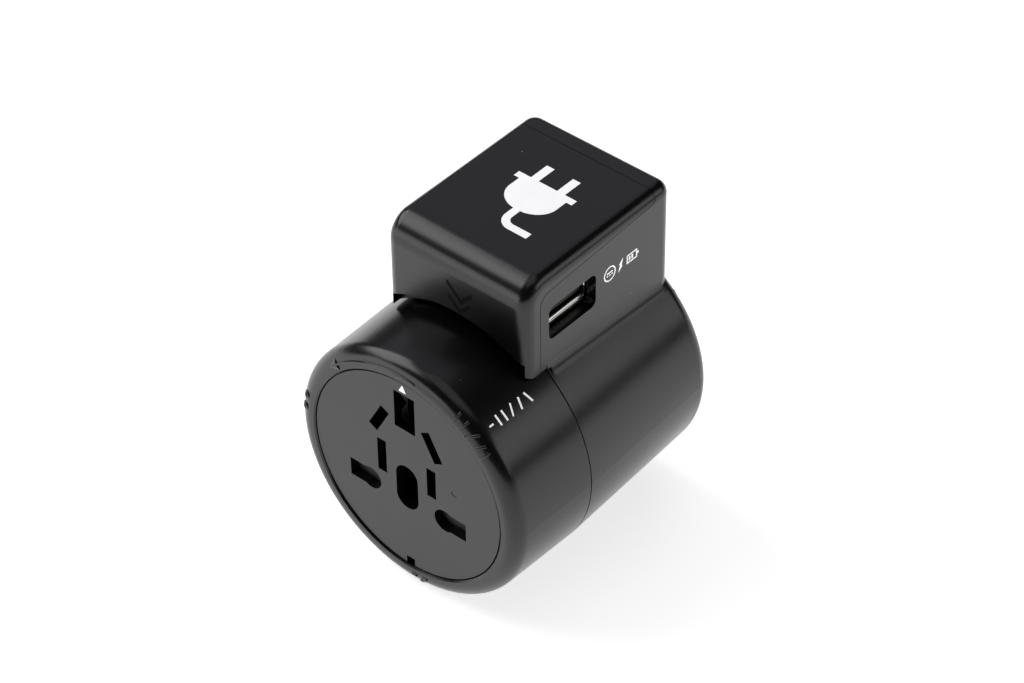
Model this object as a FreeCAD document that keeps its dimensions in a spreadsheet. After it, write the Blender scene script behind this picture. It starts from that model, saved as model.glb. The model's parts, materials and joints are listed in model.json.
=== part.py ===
import FreeCAD, Part
import math
import os
import re

import Sketcher
from FreeCAD import Placement, Rotation, Vector

# A universal travel adapter: a round body with a raised box on top of its rear half.
#
# Every sub-part is drawn in the adapter's own axes and then placed as a whole: X to the
# right seen from the socket, Y rearwards from the front rim, Z up, with the origin on the
# body's long axis. The placement puts the origin of the finished part at the middle of
# its underside. All sizes are in millimetres.

# The driving dimensions, in the order in which the adapter is stacked from front to rear.
DIMENSIONS = {
    # Outer form
    "body_length": 59.6,
    "axis_height": 28.9,
    "front_radius": 28.08,
    "joint_radius": 28.59,
    "rear_radius": 27.28,
    "front_round": 3.15,
    "rear_round": 3.3,
    "wall": 1.9,
    "parting_gap": 0.12,
    # Twist collar
    "collar_rear": 21.29,
    "collar_bore": 25.4,
    "lip_radius": 23.8,
    "lip_rear": 2.2,
    "lip_chamfer": 0.3,
    # Cam ring inside the collar
    "cam_front": 4.0,
    "cam_rear": 28.2,
    "cam_bore": 22.9,
    "journal_radius": 24.9,
    "cam_slot_half": 2.25,
    "cam_pin_radius": 1.4,
    "cam_start": 7.2,
    "cam_turn": 40.0,
    "ring_front": 26.6,
    "ring_rear": 27.6,
    "ring_bore": 24.2,
    "ring_radius": 25.9,
    # Face plate and its holes
    "plate_radius": 23.51,
    "plate_front": 0.36,
    "plate_rear": 2.4,
    "flange_radius": 24.9,
    "flange_rear": 3.5,
    "live_hole_z": -6.12,
    "live_hole_half": 2.18,
    "live_hole_outer": 14.88,
    "live_hole_round": 2.6,
    "earth_hole_half": 2.6,
    "earth_hole_low": 11.79,
    "earth_hole_high": 20.76,
    "blade_hole_x": 6.32,
    "blade_hole_z": 1.71,
    "blade_hole_width": 2.27,
    "blade_hole_left": 8.13,
    "blade_hole_right": 7.08,
    "slant_hole_x": 6.71,
    "slant_hole_z": 11.14,
    "slant_hole_width": 2.31,
    "slant_hole_length": 6.97,
    "slant_hole_tilt": 28.3,
    "ground_hole_half": 2.78,
    "ground_hole_low": -8.48,
    "ground_hole_high": 2.36,
    # Shutter behind the face plate
    "shutter_front": 2.65,
    "shutter_rear": 4.4,
    "spring_radius": 0.8,
    "spring_wire": 0.16,
    "spring_foot": -20.4,
    "spring_head": -13.2,
    "spring_turns": 5.0,
    # Socket core
    "core_front": 4.9,
    "core_rear": 20.5,
    "core_radius": 22.5,
    "pocket_rear": 18.9,
    "brass": 0.5,
    # Inner frame, fuse and guide rods
    "frame_front": 29.2,
    "frame_rear": 31.4,
    "frame_radius": 25.2,
    "fuse_radius": 3.15,
    "fuse_length": 25.4,
    "fuse_y": 24.9,
    "fuse_z": 14.0,
    "rod_radius": 1.1,
    "rod_clearance": 0.06,
    "shell_front": 57.4,
    "rear_plate_radius": 23.6,
    # Plug carriages: where each rests, how thick it is, and how far the cam moves the US set
    "uk_front": 31.7,
    "uk_thickness": 2.5,
    "eu_front": 34.2,
    "eu_thickness": 3.7,
    "us_front": 37.2,
    "us_thickness": 3.8,
    "us_travel": 16.3,
    "pin_tip": 59.2,
    # Plug pins, to the three standards' sizes
    "uk_pin_x": 11.1,
    "uk_pin_z": -6.1,
    "uk_earth_rise": 22.2,
    "uk_pin_width": 6.35,
    "uk_pin_height": 4.0,
    "uk_pin_tip": 54.2,
    "uk_earth_width": 4.0,
    "uk_earth_height": 8.0,
    "eu_pin_x": 9.5,
    "eu_pin_z": 2.5,
    "eu_pin_radius": 2.0,
    "us_pin_x": 6.35,
    "us_pin_z": -13.0,
    "us_blade_width": 1.5,
    "us_blade_height": 6.3,
    "us_boss_radius": 2.95,
    "us_swivel": 30.0,
    "pin_gap": 0.2,
    "arm_half": 2.0,
    "arm_low": -22.2,
    "arm_high": -20.4,
    # Raised box
    "box_half": 17.49,
    "box_front": 15.37,
    "box_rear": 58.68,
    "box_top": 45.79,
    "box_corner": 3.0,
    "box_edge": 2.65,
    "box_brow": 5.6,
    "box_wall": 2.2,
    "crease_round": 4.0,
    "crease_low": 17.0,
    "hood_radius": 29.15,
    "hood_rear": 22.35,
    "arch_radius": 31.6,
    "arch_half": 16.6,
    "arch_depth": 2.6,
    "chevron_half": 0.36,
    "cover_drop": 19.6,
    "cover_level_front": 41.75,
    "cover_level_rear": 43.4,
    "cover_rear": 53.6,
    "cover_round": 2.75,
    "box_floor": 28.4,
    "stand_half": 6.0,
    # USB port and the charger behind it
    "board_low": 29.3,
    "board_top": 30.5,
    "port_y": 28.85,
    "port_z": 33.5,
    "port_width": 13.7,
    "port_height": 7.8,
    "port_round": 1.4,
    "shell_face": 14.9,
    "shell_depth": 14.0,
    "shell_width": 13.1,
    "shell_low": 30.9,
    "shell_high": 36.7,
    "shell_metal": 0.3,
    "lip_low": 30.1,
    "lip_high": 37.4,
    "lip_half": 7.3,
    "lip_round": 0.55,
    "tongue_width": 11.1,
    "tongue_low": 32.7,
    "tongue_high": 34.54,
    # Fasteners
    "screw_head": 1.9,
    "screw_shank": 1.0,
    "screw_boss": 2.3,
}

SCREW_PLACES = [(11.6, 17.9), (-11.6, 17.9), (16.6, -13.3), (-16.6, -13.3)]
# Left end, tip and right end of the two V-shaped grooves in the box's front wall.
CHEVRONS = [((-2.0, 38.2), (1.5, 34.8), (4.2, 37.6)), ((-1.7, 35.0), (1.2, 32.25), (3.9, 34.8))]
SIDES = {"left": -1, "right": 1}

doc = FreeCAD.newDocument("travel_adapter")
sheet = doc.addObject("Spreadsheet::Sheet", "dims")
for row, (alias, number) in enumerate(DIMENSIONS.items(), start=1):
    sheet.set("A%d" % row, alias)
    sheet.set("B%d" % row, str(number))
    sheet.setAlias("B%d" % row, alias)
doc.recompute()


def expression(text):
    """Points each dimension's name in the text at its cell in the sheet."""
    def cell(word):
        return "dims." + word[0] if word[0] in DIMENSIONS else word[0]
    return re.sub(r"[A-Za-z_]\w*", cell, str(text))


def bind(item, place, text):
    """Binds one property of a document object to an expression of the dimensions."""
    item.setExpression(place, expression(text))


def value(alias):
    """Reads one dimension back from the sheet."""
    return float(sheet.get(alias))


def place_on_axis(item):
    """Puts a sub-part drawn in the adapter's axes into the finished part's frame."""
    bind(item, "Placement.Base.y", "-body_length / 2")
    bind(item, "Placement.Base.z", "axis_height")


def new_body(name):
    body = doc.addObject("PartDesign::Body", name)
    body.Label = name
    body.AllowCompound = True
    place_on_axis(body)
    return body


def feature(body, kind, name, cut):
    return body.newObject("PartDesign::" + ("Subtractive" if cut else "Additive") + kind, name)


def block(body, name, x, y, z, cut=False):
    """A box between a low and a high expression along each axis."""
    box = feature(body, "Box", name, cut)
    for size, axis, (low, high) in (("Length", "x", x), ("Width", "y", y), ("Height", "z", z)):
        bind(box, size, "(%s) - (%s)" % (high, low))
        bind(box, "Placement.Base." + axis, low)
    return box


def tilted_block(body, name, centre, size, y, tilt, cut=False):
    """A box across the face, centred in X and Z and tilted about the Y direction."""
    box = feature(body, "Box", name, cut)
    bind(box, "Length", size[0])
    bind(box, "Height", size[1])
    bind(box, "Width", "(%s) - (%s)" % (y[1], y[0]))
    box.Placement = Placement(Vector(), Rotation(Vector(0, 1, 0), tilt))
    across = "(%s) - (%s) / 2 * cos(%g) - (%s) / 2 * sin(%g)"
    upward = "(%s) + (%s) / 2 * sin(%g) - (%s) / 2 * cos(%g)"
    bind(box, "Placement.Base.x", across % (centre[0], size[0], tilt, size[1], tilt))
    bind(box, "Placement.Base.y", y[0])
    bind(box, "Placement.Base.z", upward % (centre[1], size[0], tilt, size[1], tilt))
    return box


def rod(body, name, radius, y, x=0, z=0, cut=False):
    """A cylinder lying along Y between two expressions."""
    cylinder = feature(body, "Cylinder", name, cut)
    cylinder.Placement = Placement(Vector(), Rotation(Vector(1, 0, 0), -90))
    bind(cylinder, "Radius", radius)
    bind(cylinder, "Height", "(%s) - (%s)" % (y[1], y[0]))
    bind(cylinder, "Placement.Base.x", x)
    bind(cylinder, "Placement.Base.y", y[0])
    bind(cylinder, "Placement.Base.z", z)
    return cylinder


def post(body, name, radius, z, x=0, y=0, cut=False):
    """A cylinder standing along Z between two expressions."""
    cylinder = feature(body, "Cylinder", name, cut)
    bind(cylinder, "Radius", radius)
    bind(cylinder, "Height", "(%s) - (%s)" % (z[1], z[0]))
    bind(cylinder, "Placement.Base.x", x)
    bind(cylinder, "Placement.Base.y", y)
    bind(cylinder, "Placement.Base.z", z[0])
    return cylinder


def sketch_on(body, name, role, offset=0):
    """A sketch on one of the body's origin planes, moved along that plane's normal."""
    sketch = body.newObject("Sketcher::SketchObject", name)
    plane = next(item for item in body.Origin.OriginFeatures if item.Role == role)
    sketch.AttachmentSupport = [(plane, "")]
    sketch.MapMode = "FlatFace"
    bind(sketch, "AttachmentOffset.Base.z", offset)
    return sketch


def evaluated(text):
    """The number that an expression of the dimensions has now."""
    return float(sheet.evalExpression(expression(text)))


def quarter_arc(start, end, leftwards):
    """A quarter circle between two points, turning left or right on the way."""
    for centre in (Vector(start.x, end.y, 0), Vector(end.x, start.y, 0)):
        turn = (start - centre).cross(end - centre).z
        if (turn > 0) == leftwards:
            middle = (start + end) / 2 - centre
            middle.normalize()
            return Part.Arc(start, centre + middle * (start - centre).Length, end)


def outline(sketch, corners):
    """A closed outline whose corners are bound to expressions.

    A corner is (x, y), followed by a straight line to the next corner, or (x, y, "left")
    or (x, y, "right"), followed by a quarter circle that turns that way.
    """
    points = [Vector(evaluated(corner[0]), evaluated(corner[1]), 0) for corner in corners]
    count = len(points)
    ends = []
    for index, corner in enumerate(corners):
        start, end = points[index], points[(index + 1) % count]
        if len(corner) == 3:
            sketch.addGeometry(quarter_arc(start, end, corner[2] == "left"), False)
            ends.append((1, 2) if corner[2] == "left" else (2, 1))
        else:
            sketch.addGeometry(Part.LineSegment(start, end), False)
            ends.append((1, 2))
    for index, corner in enumerate(corners):
        after = (index + 1) % count
        first = ends[index][0]
        joint = Sketcher.Constraint("Coincident", index, ends[index][1], after, ends[after][0])
        sketch.addConstraint(joint)
        across = sketch.addConstraint(Sketcher.Constraint("DistanceX", index, first, points[index].x))
        bind(sketch, "Constraints[%d]" % across, corner[0])
        upward = sketch.addConstraint(Sketcher.Constraint("DistanceY", index, first, points[index].y))
        bind(sketch, "Constraints[%d]" % upward, corner[1])
        if len(corner) == 3:
            reach = abs(points[after].x - points[index].x)
            sketch.addConstraint(Sketcher.Constraint("Radius", index, reach))


def revolved(body, name, corners, cut=False):
    """Turns an outline of (radius, y) corners about the adapter's long axis."""
    sketch = sketch_on(body, name + "_sketch", "XY_Plane")
    outline(sketch, corners)
    turned = body.newObject("PartDesign::Groove" if cut else "PartDesign::Revolution", name)
    turned.Profile = sketch
    turned.ReferenceAxis = (sketch, ["V_Axis"])
    turned.Angle = 360
    body.Tip = turned
    return turned


def extruded(body, name, corners, y, cut=False):
    """Extrudes an outline of (x, z) corners rearwards between two expressions."""
    sketch = sketch_on(body, name + "_sketch", "XZ_Plane", "-(%s)" % y[0])
    outline(sketch, corners)
    solid = body.newObject("PartDesign::Pocket" if cut else "PartDesign::Pad", name)
    solid.Profile = sketch
    bind(solid, "Length", "(%s) - (%s)" % (y[1], y[0]))
    solid.Reversed = not cut
    body.Tip = solid
    return solid


def rounded(body, name, radius, chosen):
    """Rounds the edges of the body's last feature that the test picks."""
    doc.recompute()
    base = body.Tip
    names = ["Edge%d" % (index + 1) for index, edge in enumerate(base.Shape.Edges) if chosen(edge)]
    fillet = body.newObject("PartDesign::Fillet", name)
    fillet.Base = (base, names)
    bind(fillet, "Radius", radius)
    doc.recompute()
    return fillet


def spans(edge, axis, low, high, slack=1e-3):
    """True where the edge's box runs from low to high along one axis."""
    box = edge.BoundBox
    ends = {"x": (box.XMin, box.XMax), "y": (box.YMin, box.YMax), "z": (box.ZMin, box.ZMax)}[axis]
    return abs(ends[0] - low) < slack and abs(ends[1] - high) < slack


def at(edge, axis, place):
    return spans(edge, axis, place, place)


# ---------------------------------------------------------------- twist collar and cam

def twist_collar():
    """The ring that is turned by hand: a tapered sleeve with a rounded front rim."""
    body = new_body("twist_collar")
    revolved(body, "sleeve", [
        ("lip_radius + lip_chamfer", "0"),
        ("front_radius", "0"),
        ("joint_radius", "collar_rear"),
        ("collar_bore", "collar_rear"),
        ("collar_bore", "lip_rear"),
        ("lip_radius", "lip_rear"),
        ("lip_radius", "lip_chamfer")])
    rounded(body, "front_rim", "front_round",
            lambda edge: at(edge, "y", 0) and edge.BoundBox.XMax > value("front_radius") - 0.01)
    rounded(body, "rear_edge", "0.2",
            lambda edge: at(edge, "y", value("collar_rear"))
            and edge.BoundBox.XMax > value("joint_radius") - 0.01)


def cam_ring():
    """The sleeve keyed inside the collar, with the helical slot that drives the US plug."""
    body = new_body("cam_ring")
    revolved(body, "sleeve", [
        ("cam_bore", "cam_front"),
        ("collar_bore", "cam_front"),
        ("collar_bore", "collar_rear"),
        ("journal_radius", "collar_rear"),
        ("journal_radius", "ring_front"),
        ("ring_bore", "ring_front"),
        ("ring_bore", "ring_rear"),
        ("journal_radius", "ring_rear"),
        ("journal_radius", "cam_rear"),
        ("cam_bore", "cam_rear")])
    sketch = sketch_on(body, "slot_profile", "YZ_Plane")
    outline(sketch, [
        ("cam_start - cam_slot_half", "-collar_bore - 1"),
        ("cam_start + cam_slot_half", "-collar_bore - 1"),
        ("cam_start + cam_slot_half", "-cam_bore + 1"),
        ("cam_start - cam_slot_half", "-cam_bore + 1")])
    slot = body.newObject("PartDesign::SubtractiveHelix", "cam_slot")
    slot.Profile = sketch
    slot.ReferenceAxis = (sketch, ["H_Axis"])
    slot.Mode = "pitch-height-angle"
    bind(slot, "Pitch", "us_travel * 360 / cam_turn")
    bind(slot, "Height", "us_travel")
    slot.LeftHanded = False
    body.Tip = slot
    for end, turn, y in (("first", 0, "cam_start"), ("last", value("cam_turn"), "cam_start + us_travel")):
        hole = feature(body, "Cylinder", "slot_end_" + end, True)
        hole.Placement = Placement(Vector(), Rotation(Vector(0, 1, 0), 180 + turn))
        bind(hole, "Radius", "cam_pin_radius + 0.2")
        bind(hole, "Height", "30")
        bind(hole, "Placement.Base.y", y)


def collar_retaining_ring():
    """The snap ring in the cam ring's groove, which holds the collar to the housing."""
    body = new_body("collar_retaining_ring")
    rod(body, "ring", "ring_radius", ("ring_front + 0.05", "ring_rear - 0.05"))
    rod(body, "bore", "ring_bore", ("ring_front", "ring_rear"), cut=True)
    block(body, "gap", ("-2", "2"), ("ring_front", "ring_rear"), ("0", "30"), cut=True)


# ---------------------------------------------------------------- socket

def face_plate():
    """The fixed disc with the holes that every country's plug goes into."""
    body = new_body("face_plate")
    rod(body, "disc", "plate_radius", ("plate_front", "plate_rear"))
    rod(body, "flange", "flange_radius", ("plate_rear", "flange_rear"))
    rod(body, "hollow", "cam_bore - 0.4", ("plate_rear", "flange_rear"), cut=True)
    rod(body, "seat", "core_radius", ("plate_rear", "core_front"))
    rod(body, "shutter_room", "20.6", ("plate_rear", "core_front"), cut=True)
    block(body, "lower_room", ("-21.5", "21.5"), ("plate_rear", "core_front + 1"), ("-22", "1"), cut=True)
    block(body, "ledge_room", ("-4", "4"), ("plate_rear", "core_front + 1"), ("-24", "-18"), cut=True)
    through = ("0", "core_front")
    for side, sign in SIDES.items():
        rail = ("15.8", "16.6") if sign > 0 else ("-16.6", "-15.8")
        block(body, "rail_" + side, rail, ("plate_rear", "shutter_rear + 0.1"), ("-14", "-2"))
        ends = ("eu_pin_x", "live_hole_outer") if sign > 0 else ("-live_hole_outer", "-eu_pin_x")
        block(body, "live_hole_" + side, ends, through,
              ("live_hole_z - live_hole_half", "live_hole_z + live_hole_half"), cut=True)
        rod(body, "round_hole_" + side, "live_hole_round", through,
            "%d * eu_pin_x" % sign, "live_hole_z", cut=True)
        tilted_block(body, "blade_hole_" + side, ("%d * blade_hole_x" % sign, "blade_hole_z"),
                     ("blade_hole_width", "blade_hole_" + side), through, 0, cut=True)
        tilted_block(body, "slant_hole_" + side, ("%d * slant_hole_x" % sign, "slant_hole_z"),
                     ("slant_hole_width", "slant_hole_length"), through,
                     -sign * value("slant_hole_tilt"), cut=True)
    block(body, "earth_hole", ("-earth_hole_half", "earth_hole_half"), through,
          ("earth_hole_low", "earth_hole_high"), cut=True)
    block(body, "ground_hole", ("-ground_hole_half", "ground_hole_half"), through,
          ("ground_hole_low + ground_hole_half", "ground_hole_high - ground_hole_half"), cut=True)
    for end, z in (("low", "ground_hole_low + ground_hole_half"),
                   ("high", "ground_hole_high - ground_hole_half")):
        rod(body, "ground_hole_" + end, "ground_hole_half", through, 0, z, cut=True)
    block(body, "rim_notch", ("-0.85", "1.25"), ("0", "1.6"), ("-23.6", "-21.8"), cut=True)
    rod(body, "gate_mark", "0.8", ("plate_front - 0.1", "plate_front + 0.08"), "12.2", "2.7", cut=True)


def socket_shutter():
    """The sprung gate behind the live and neutral holes: two paddles on a lower yoke."""
    body = new_body("socket_shutter")
    depth = ("shutter_front", "shutter_rear")
    block(body, "yoke", ("-6", "6"), depth, ("spring_head", "-10.2"))
    for side, sign in SIDES.items():
        ends = ("4.4", "15.5") if sign > 0 else ("-15.5", "-4.4")
        block(body, "paddle_" + side, ends, depth, ("-10.2", "-3.1"))
    doc.recompute()
    body.Tip = body.Group[-1]
    rounded(body, "paddle_edges", "0.5",
            lambda edge: at(edge, "z", -3.1) and at(edge, "y", value("shutter_front")))


def shutter_spring():
    """A round-wire coil standing under the shutter, swept along a helix."""
    radius = value("spring_radius") - value("spring_wire")
    wire = value("spring_wire")
    low = value("spring_foot")
    turns = value("spring_turns")
    height = value("spring_head") - 0.05 - low - 2 * wire
    path = Part.makeHelix(height / turns, height, radius)
    path.translate(Vector(0, 0, low + wire))
    start = path.Vertexes[0].Point
    circle = Part.Wire(Part.makeCircle(wire, start, Vector(0, 1, height / turns / (6.2832 * radius))))
    coil = Part.Wire(path).makePipeShell([circle], True, True)
    item = doc.addObject("Part::Feature", "shutter_spring")
    item.Shape = coil
    item.Label = "shutter_spring"
    bind(item, "Placement.Base.y", "(shutter_front + shutter_rear) / 2 - body_length / 2")
    bind(item, "Placement.Base.z", "axis_height")


def socket_core():
    """The moulding behind the plate whose pockets hold the brass contacts."""
    body = new_body("socket_core")
    rod(body, "drum", "core_radius", ("core_front", "core_rear"))
    pocket = ("core_front", "pocket_rear")
    for side, sign in SIDES.items():
        live = ("6.4", "15.6") if sign > 0 else ("-15.6", "-6.4")
        block(body, "live_pocket_" + side, live, pocket, ("-9.1", "-3.3"), cut=True)
        tilted_block(body, "blade_pocket_" + side, ("%d * blade_hole_x" % sign, "blade_hole_z"),
                     ("blade_hole_width + 0.8", "8.5"), pocket, 0, cut=True)
        tilted_block(body, "slant_pocket_" + side, ("%d * slant_hole_x" % sign, "slant_hole_z"),
                     ("slant_hole_width + 0.8", "slant_hole_length + 0.8"), pocket,
                     -sign * value("slant_hole_tilt"), cut=True)
        link = ("6.5", "8") if sign > 0 else ("-8", "-6.5")
        block(body, "link_pocket_" + side, link, ("pocket_rear - 2", "pocket_rear"),
              ("-3.4", "-2.4"), cut=True)
    block(body, "earth_pocket", ("-3.3", "3.3"), pocket, ("11.1", "21.3"), cut=True)
    block(body, "ground_pocket", ("-3.3", "3.3"), pocket, ("-8.9", "2.8"), cut=True)
    block(body, "arm_channel", ("-arm_half - 0.5", "arm_half + 0.5"), ("core_front", "core_rear"),
          ("-23", "arm_high + 0.5"), cut=True)
    block(body, "spring_ledge", ("-3.6", "3.6"), ("shutter_front", "core_front"),
          ("spring_foot - 1", "spring_foot"))
    for side, sign in SIDES.items():
        rod(body, "post_" + side, "2.2", ("core_rear", "frame_front"), "%d * 17.8" % sign, "-8")


def blade_contact(name, sign):
    """A brass contact: a back strap with two leaves that grip a pin above and below."""
    body = new_body(name)
    ends = ("6.6", "15.4") if sign > 0 else ("-15.4", "-6.6")
    block(body, "back", ends, ("pocket_rear - brass", "pocket_rear"), ("-8.9", "2.0"))
    block(body, "lower_leaf", ends, ("7", "pocket_rear - brass"), ("-8.9", "-8.9 + brass"))
    block(body, "upper_leaf", ends, ("7", "pocket_rear - brass"), ("-3.5 - brass", "-3.5"))
    trim = ("7.8", "15.4") if sign > 0 else ("-15.4", "-7.8")
    block(body, "trim", trim, ("6", "pocket_rear + 1"), ("-3.3", "2.1"), cut=True)


def contact_earth():
    """The earth contact: two leaves beside the earth pin, on a strap to the ground hole."""
    body = new_body("contact_earth")
    block(body, "back", ("-3.1", "3.1"), ("pocket_rear - brass", "pocket_rear"), ("11.4", "21"))
    for side, sign in SIDES.items():
        leaf = ("2.7", "3.1") if sign > 0 else ("-3.1", "-2.7")
        block(body, "leaf_" + side, leaf, ("7", "pocket_rear - brass"), ("11.4", "21"))


# ---------------------------------------------------------------- housing and cover

def case_block(body):
    """The raised box as one block with all its outer corners rounded."""
    block(body, "case", ("-box_half", "box_half"), ("box_front", "box_rear"), ("0", "box_top"))
    rounded(body, "case_brow", "box_brow",
            lambda edge: at(edge, "y", value("box_front")) and at(edge, "z", value("box_top")))
    rounded(body, "case_corners", "box_corner",
            lambda edge: spans(edge, "z", 0, value("box_top")))
    brow_end = value("box_front") + value("box_brow")
    rounded(body, "case_edges", "box_edge",
            lambda edge: at(edge, "z", value("box_top")) and edge.BoundBox.YMax > brow_end + 0.01)


def cover_line(body, name, for_cover):
    """Cuts the case along the line where the cover meets the housing, seen from the side."""
    inward, outward = (" - parting_gap / 2", " + parting_gap / 2")
    if not for_cover:
        inward, outward = outward, inward
    drop = "cover_drop" + inward
    rear = "cover_rear" + inward
    level_front = "cover_level_front" + outward
    level_rear = "cover_level_rear" + outward
    rise = "cover_round / 2"
    away = "box_rear + 10" if for_cover else "box_front - 5"
    sketch = sketch_on(body, name + "_sketch", "YZ_Plane")
    outline(sketch, [
        (drop, "-60"),
        (drop, level_front + " - cover_round", "right"),
        (drop + " + cover_round", level_front),
        (rear + " - " + rise, level_rear, "left"),
        (rear, level_rear + " + " + rise),
        (rear, "box_top + 5"),
        (away, "box_top + 5"),
        (away, "-60")])
    pocket = body.newObject("PartDesign::Pocket", name)
    pocket.Profile = sketch
    bind(pocket, "Length", "4 * box_half")
    pocket.Midplane = True
    body.Tip = pocket


def top_cover():
    """The L-shaped cover: the box's front wall and its roof, in one moulding."""
    body = new_body("top_cover")
    case_block(body)
    cover_line(body, "parting", True)
    block(body, "inside", ("-box_half + box_wall", "box_half - box_wall"),
          ("box_front + box_wall", "cover_rear - 0.8"), ("0", "box_top - box_wall"), cut=True)
    block(body, "arch_rib", ("-box_half + box_wall", "box_half - box_wall"),
          ("box_front + box_wall", "cover_drop - 0.4"), ("22", "34"))
    rod(body, "collar_room", "hood_radius", ("box_front - 1", "box_rear"), cut=True)
    arch_recess(body)
    for index, (left, tip, right) in enumerate(CHEVRONS):
        upper = [(str(x), "%g + chevron_half" % z) for x, z in (left, tip, right)]
        lower = [(str(x), "%g - chevron_half" % z) for x, z in (right, tip, left)]
        extruded(body, "chevron_%d" % index, upper + lower,
                 ("box_front - 1", "box_front + 0.3"), cut=True)


def arch_recess(body):
    """Cuts the step in the front wall that arches over the collar."""
    depth = ("box_front - 1", "box_front + arch_depth")
    sector = rod(body, "arch", "arch_radius", depth, cut=True)
    half_turn = math.degrees(math.asin(value("arch_half") / value("arch_radius")))
    bind(sector, "Angle", "2 * asin(arch_half / arch_radius)")
    towards_rear = Rotation(Vector(1, 0, 0), -90)
    sector.Placement.Rotation = towards_rear * Rotation(Vector(0, 0, 1), -90 - half_turn)
    block(body, "arch_foot", ("-arch_half", "arch_half"), depth,
          ("20", "sqrt(arch_radius ^ 2 - arch_half ^ 2)"), cut=True)


def rear_housing():
    """The rear shell: the round rear half with the box's side walls and rear wall."""
    body = new_body("rear_housing")
    drum = [
        ("0", "collar_rear + parting_gap"),
        ("joint_radius", "collar_rear + parting_gap"),
        ("rear_radius", "body_length - rear_round", "left"),
        ("rear_radius - rear_round", "body_length"),
        ("0", "body_length")]
    revolved(body, "drum", drum)
    block(body, "case", ("-box_half", "box_half"), ("cover_drop + parting_gap / 2", "box_rear"),
          ("0", "box_top"))
    rounded(body, "crease", "crease_round", crease_edge)
    for side, sign in SIDES.items():
        ends = ("box_half - box_corner", "box_half + 1")
        ends = ends if sign > 0 else ("-(%s)" % ends[1], "-(%s)" % ends[0])
        block(body, "corner_room_" + side, ends, ("box_rear - box_corner", "box_rear + 0.5"),
              ("crease_low", "box_top + 1"), cut=True)
        post(body, "corner_" + side, "box_corner", ("crease_low", "box_top"),
             "%d * (box_half - box_corner)" % sign, "box_rear - box_corner")
    revolved(body, "drum_again", drum)
    rounded(body, "case_edges", "box_edge",
            lambda edge: at(edge, "z", value("box_top")) and edge.BoundBox.YMax > 20)
    cover_line(body, "parting", False)
    block(body, "stand_pad", ("-stand_half", "stand_half"), ("24", "54"), ("-axis_height", "-24"))
    rod(body, "hood", "hood_radius", ("box_front", "hood_rear"), cut=True)
    revolved(body, "front_ring", [
        ("journal_radius + 0.1", "collar_rear + parting_gap"),
        ("joint_radius", "collar_rear + parting_gap"),
        ("joint_radius - 0.04", "hood_rear + 0.4"),
        ("journal_radius + 0.1", "hood_rear + 0.4")])
    return body


def crease_edge(edge):
    """Picks the two edges where the box's sides meet the round body."""
    box = edge.BoundBox
    on_side = abs(abs(box.XMin) - value("box_half")) < 0.01 and abs(box.XMax - box.XMin) < 0.01
    return on_side and 20 < box.ZMin < 24 and box.YMax - box.YMin > 20


def finish_housing(body):
    """Hollows the housing and gives it its ledges, bosses and port."""
    revolved(body, "cavity", [
        ("0", "collar_rear - 1"),
        ("journal_radius + 0.1", "collar_rear - 1"),
        ("journal_radius + 0.1", "ring_front - 0.15"),
        ("joint_radius - wall - 0.2", "ring_front - 0.15"),
        ("rear_radius - wall", "shell_front - 2"),
        ("rear_plate_radius - 1", "shell_front - 2"),
        ("rear_plate_radius - 1", "shell_front"),
        ("rear_plate_radius + 0.1", "shell_front"),
        ("rear_plate_radius + 0.1", "body_length + 1"),
        ("0", "body_length + 1")], cut=True)
    block(body, "box_room", ("-box_half + box_wall", "box_half - box_wall"),
          ("box_front", "cover_rear"), ("box_floor", "box_top + 1"), cut=True)
    block(body, "rear_room", ("-box_half + box_wall", "box_half - box_wall"),
          ("cover_rear - 1", "box_rear - box_wall"), ("box_floor", "box_top - box_wall"), cut=True)
    block(body, "wire_way", ("-9", "9"), ("34", "52"), ("20", "box_floor + 1"), cut=True)
    for index, (x, z) in enumerate(SCREW_PLACES):
        turn = math.degrees(math.atan2(x, z))
        reach = math.hypot(x, z)
        rod(body, "boss_%d" % index, "screw_boss", ("50", "shell_front"), x, z)
        tilted_block(body, "web_%d" % index, (x * (reach + 2) / reach, z * (reach + 2) / reach),
                     ("1.6", "4"), ("50", "shell_front"), turn)
        rod(body, "pilot_%d" % index, "screw_shank", ("51", "shell_front + 1"), x, z, cut=True)
    port = block(body, "port", ("shell_face - 0.2", "box_half + 1"),
                 ("port_y - port_width / 2", "port_y + port_width / 2"),
                 ("port_z - port_height / 2", "port_z + port_height / 2"), cut=True)
    body.Tip = port
    rounded(body, "port_corners", "port_round", port_corner)


def port_corner(edge):
    """Picks the four short edges that run through the side wall at the port's corners."""
    box = edge.BoundBox
    across = abs(box.YMax - box.YMin) < 0.01 and abs(box.ZMax - box.ZMin) < 0.01
    y_off = abs(abs(box.YMin - value("port_y")) - value("port_width") / 2) < 0.01
    z_off = abs(abs(box.ZMin - value("port_z")) - value("port_height") / 2) < 0.01
    return across and y_off and z_off and box.XMin > 10


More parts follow.
